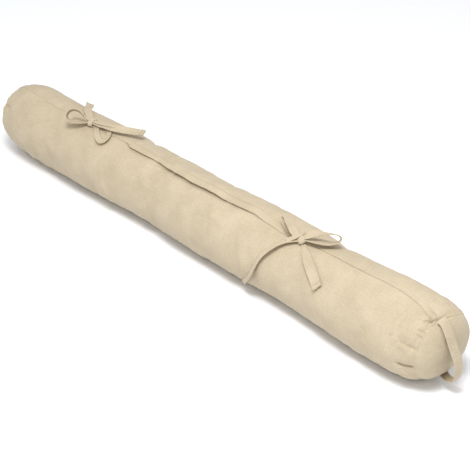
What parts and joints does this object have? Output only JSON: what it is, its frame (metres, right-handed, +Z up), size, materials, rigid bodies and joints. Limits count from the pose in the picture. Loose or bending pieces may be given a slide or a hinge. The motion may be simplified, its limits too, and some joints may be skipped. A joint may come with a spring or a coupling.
{
  "type": "draught excluder",
  "caption": "Long round filled linen roll that lies along the foot of a door to stop draughts, with a lapped closing edge, tied tape bows and a tape handle at its end.",
  "frame": {"origin": "middle of the whole length and width, on the floor that the roll lies on", "axes": "+X along the roll towards the end with the handle, +Y from the front to the back, +Z up from the floor"},
  "size_m": [0.9222, 0.1201, 0.1266],
  "materials": {
    "linen": "natural undyed linen, plain weave, matt",
    "tape": "folded strip of the same linen, stitched flat, matt"
  },
  "bodies": {
    "root": {"body": "linen", "end_near": "linen", "end_far": "linen", "handle": "tape", "tie_left_upper": "tape", "tie_left_lower": "tape", "tie_right_upper": "tape", "tie_right_lower": "tape"}
  },
  "joints": []
}
